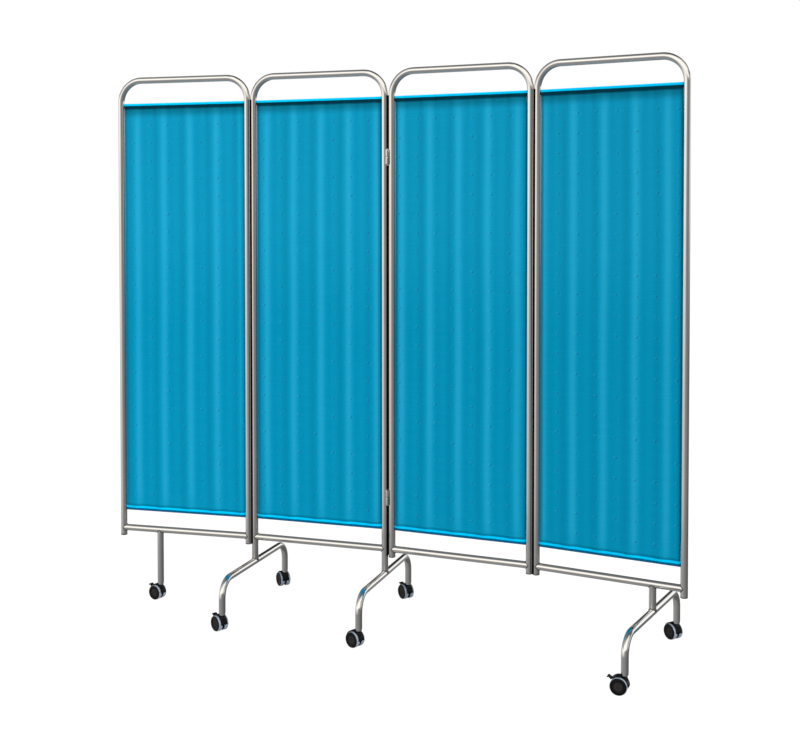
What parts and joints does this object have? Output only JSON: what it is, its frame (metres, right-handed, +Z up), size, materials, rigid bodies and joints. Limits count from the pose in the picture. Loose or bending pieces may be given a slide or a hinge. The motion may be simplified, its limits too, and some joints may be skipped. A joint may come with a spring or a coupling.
{
  "type": "folding ward privacy screen",
  "caption": "Folding ward privacy screen: hinged bent-tube panels with blue curtains on rods, standing on tubular feet with braked twin-wheel casters.",
  "frame": {"origin": "on the floor, at the middle of the bounding box of the open screen", "axes": "+X along the second panel, left to right as seen from the front; +Y away from the viewer; +Z up"},
  "size_m": [1.9376, 0.6626, 1.8],
  "materials": {
    "frame_steel": "bright satin stainless tube",
    "rod_steel": "drawn wire",
    "curtain_cloth": "plain woven polyester with a soft sheen",
    "caster_black": "moulded nylon, satin",
    "wheel_plastic": "moulded nylon, polished tread",
    "plug_plastic": "moulded polythene"
  },
  "bodies": {
    "panel_1": {"frame_1": "frame_steel", "bottom_rail_1": "frame_steel", "curtain_1": "curtain_cloth", "upper_rod_1": "rod_steel", "lower_rod_1": "rod_steel", "stile_plug_1_left": "plug_plastic", "stile_plug_1_right": "plug_plastic", "hinge_12_upper_bore_half": "frame_steel", "hinge_12_lower_bore_half": "frame_steel", "leg_1": "frame_steel"},
    "panel_2": {"frame_2": "frame_steel", "bottom_rail_2": "frame_steel", "curtain_2": "curtain_cloth", "upper_rod_2": "rod_steel", "lower_rod_2": "rod_steel", "hinge_12_upper_pin_half": "frame_steel", "hinge_23_upper_pin_half": "frame_steel", "hinge_12_lower_pin_half": "frame_steel", "hinge_23_lower_pin_half": "frame_steel", "foot_2": "frame_steel", "foot_3": "frame_steel"},
    "panel_3": {"frame_3": "frame_steel", "bottom_rail_3": "frame_steel", "curtain_3": "curtain_cloth", "upper_rod_3": "rod_steel", "lower_rod_3": "rod_steel", "stile_plug_3_left": "plug_plastic", "stile_plug_3_right": "plug_plastic", "hinge_23_upper_bore_half": "frame_steel", "hinge_34_upper_pin_half": "frame_steel", "hinge_23_lower_bore_half": "frame_steel", "hinge_34_lower_pin_half": "frame_steel"},
    "panel_4": {"frame_4": "frame_steel", "bottom_rail_4": "frame_steel", "curtain_4": "curtain_cloth", "upper_rod_4": "rod_steel", "lower_rod_4": "rod_steel", "stile_plug_4_left": "plug_plastic", "stile_plug_4_right": "plug_plastic", "hinge_34_upper_bore_half": "frame_steel", "hinge_34_lower_bore_half": "frame_steel", "foot_4": "frame_steel"},
    "caster_1": {"caster_1_hood": "caster_black"},
    "caster_1_roller": {"caster_1_wheels": "wheel_plastic"},
    "caster_2_front": {"caster_2_front_hood": "caster_black"},
    "caster_2_front_roller": {"caster_2_front_wheels": "wheel_plastic"},
    "caster_2_rear": {"caster_2_rear_hood": "caster_black"},
    "caster_2_rear_roller": {"caster_2_rear_wheels": "wheel_plastic"},
    "caster_3_front": {"caster_3_front_hood": "caster_black"},
    "caster_3_front_roller": {"caster_3_front_wheels": "wheel_plastic"},
    "caster_3_rear": {"caster_3_rear_hood": "caster_black"},
    "caster_3_rear_roller": {"caster_3_rear_wheels": "wheel_plastic"},
    "caster_4_front": {"caster_4_front_hood": "caster_black"},
    "caster_4_front_roller": {"caster_4_front_wheels": "wheel_plastic"},
    "caster_4_rear": {"caster_4_rear_hood": "caster_black"},
    "caster_4_rear_roller": {"caster_4_rear_wheels": "wheel_plastic"},
    "caster_1_brake": {"caster_1_pedal": "caster_black"},
    "caster_2_front_brake": {"caster_2_front_pedal": "caster_black"},
    "caster_3_rear_brake": {"caster_3_rear_pedal": "caster_black"},
    "caster_4_front_brake": {"caster_4_front_pedal": "caster_black"}
  },
  "joints": [
    {"name": "fold_12", "type": "hinge", "parent": "panel_2", "child": "panel_1", "pos_m": [-0.48342, 0.05777, 0.411], "axis": [0, 0, 1], "range_deg": [-183, 4]},
    {"name": "fold_23", "type": "hinge", "parent": "panel_2", "child": "panel_3", "pos_m": [0.00458, 0.03277, 0.411], "axis": [0, 0, 1], "range_deg": [-150, 12]},
    {"name": "fold_34", "type": "hinge", "parent": "panel_3", "child": "panel_4", "pos_m": [0.49294, 0.01617, 0.411], "axis": [0, 0, 1], "range_deg": [-1.3, 185]},
    {"name": "swivel_1", "type": "hinge", "parent": "panel_1", "child": "caster_1", "pos_m": [-0.82003, 0.02472, 0.06], "axis": [0, 0, 1], "continuous": true},
    {"name": "roll_1", "type": "hinge", "parent": "caster_1", "child": "caster_1_roller", "pos_m": [-0.83466, 0.02805, 0.025], "axis": [-0.2217, -0.9751, 0], "continuous": true},
    {"name": "swivel_2_front", "type": "hinge", "parent": "panel_2", "child": "caster_2_front", "pos_m": [-0.47142, -0.20172, 0.06], "axis": [0, 0, 1], "continuous": true},
    {"name": "roll_2_front", "type": "hinge", "parent": "caster_2_front", "child": "caster_2_front_roller", "pos_m": [-0.48447, -0.19434, 0.025], "axis": [-0.4924, -0.8704, 0], "continuous": true},
    {"name": "swivel_2_rear", "type": "hinge", "parent": "panel_2", "child": "caster_2_rear", "pos_m": [-0.47142, 0.29228, 0.06], "axis": [0, 0, 1], "continuous": true},
    {"name": "roll_2_rear", "type": "hinge", "parent": "caster_2_rear", "child": "caster_2_rear_roller", "pos_m": [-0.4823, 0.3026, 0.025], "axis": [-0.6884, -0.7254, 0], "continuous": true},
    {"name": "swivel_3_front", "type": "hinge", "parent": "panel_2", "child": "caster_3_front", "pos_m": [-0.00742, -0.20172, 0.06], "axis": [0, 0, 1], "continuous": true},
    {"name": "roll_3_front", "type": "hinge", "parent": "caster_3_front", "child": "caster_3_front_roller", "pos_m": [-0.02131, -0.19608, 0.025], "axis": [-0.3762, -0.9265, 0], "continuous": true},
    {"name": "swivel_3_rear", "type": "hinge", "parent": "panel_2", "child": "caster_3_rear", "pos_m": [-0.00742, 0.29228, 0.06], "axis": [0, 0, 1], "continuous": true},
    {"name": "roll_3_rear", "type": "hinge", "parent": "caster_3_rear", "child": "caster_3_rear_roller", "pos_m": [-0.01902, 0.30178, 0.025], "axis": [-0.6334, -0.7738, 0], "continuous": true},
    {"name": "swivel_4_front", "type": "hinge", "parent": "panel_4", "child": "caster_4_front", "pos_m": [0.81824, -0.31162, 0.06], "axis": [0, 0, 1], "continuous": true},
    {"name": "roll_4_front", "type": "hinge", "parent": "caster_4_front", "child": "caster_4_front_roller", "pos_m": [0.80325, -0.31093, 0.025], "axis": [-0.0459, -0.9989, 0], "continuous": true},
    {"name": "swivel_4_rear", "type": "hinge", "parent": "panel_4", "child": "caster_4_rear", "pos_m": [0.91275, 0.17325, 0.06], "axis": [0, 0, 1], "continuous": true},
    {"name": "roll_4_rear", "type": "hinge", "parent": "caster_4_rear", "child": "caster_4_rear_roller", "pos_m": [0.90135, 0.183, 0.025], "axis": [-0.6498, -0.7601, 0], "continuous": true},
    {"name": "brake_1", "type": "hinge", "parent": "caster_1", "child": "caster_1_brake", "pos_m": [-0.85686, 0.0331, 0.04279], "axis": [-0.2217, -0.9751, 0], "range_deg": [0, 20]},
    {"name": "brake_2_front", "type": "hinge", "parent": "caster_2_front", "child": "caster_2_front_brake", "pos_m": [-0.50429, -0.18313, 0.04279], "axis": [-0.4924, -0.8704, 0], "range_deg": [0, 20]},
    {"name": "brake_3_rear", "type": "hinge", "parent": "caster_3_rear", "child": "caster_3_rear_brake", "pos_m": [-0.03665, 0.3162, 0.04279], "axis": [-0.6334, -0.7738, 0], "range_deg": [0, 20]},
    {"name": "brake_4_front", "type": "hinge", "parent": "caster_4_front", "child": "caster_4_front_brake", "pos_m": [0.7805, -0.30989, 0.04279], "axis": [-0.0459, -0.9989, 0], "range_deg": [0, 20]}
  ]
}
